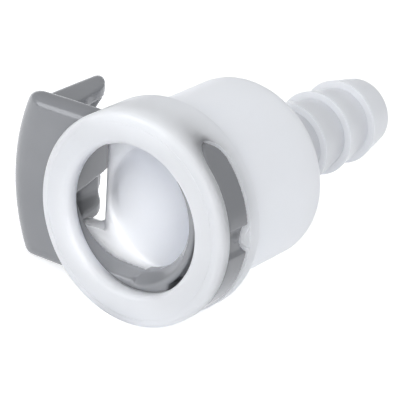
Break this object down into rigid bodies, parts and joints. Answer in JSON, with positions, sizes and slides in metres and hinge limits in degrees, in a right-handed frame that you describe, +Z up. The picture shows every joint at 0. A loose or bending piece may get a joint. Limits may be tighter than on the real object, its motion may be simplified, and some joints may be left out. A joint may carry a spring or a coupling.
{
  "type": "quick disconnect coupling",
  "caption": "Plastic in-line quick disconnect socket: round collar with a sliding thumb latch, plain barrel and hose barb tail, open flow.",
  "frame": {"origin": "centre of the front ring's face on the flow axis, where the mating insert enters", "axes": "+Y along the flow axis from the front ring to the barb tip; +Z up with the part lying on its side; the thumb pad points to -X and a little down"},
  "size_m": [0.0267, 0.0377, 0.0204],
  "materials": {
    "body_plastic": "natural translucent white moulding",
    "latch_plastic": "glossy mid grey moulding"
  },
  "bodies": {
    "body": {"body": "body_plastic"},
    "latch": {"latch": "latch_plastic"}
  },
  "joints": [
    {"name": "latch_press", "type": "slide", "parent": "body", "child": "latch", "axis": [0.9859, 0, 0.1676], "range_m": [0, 0.0015], "stiffness_N_per_m": 300, "springref_m": -0.002}
  ]
}
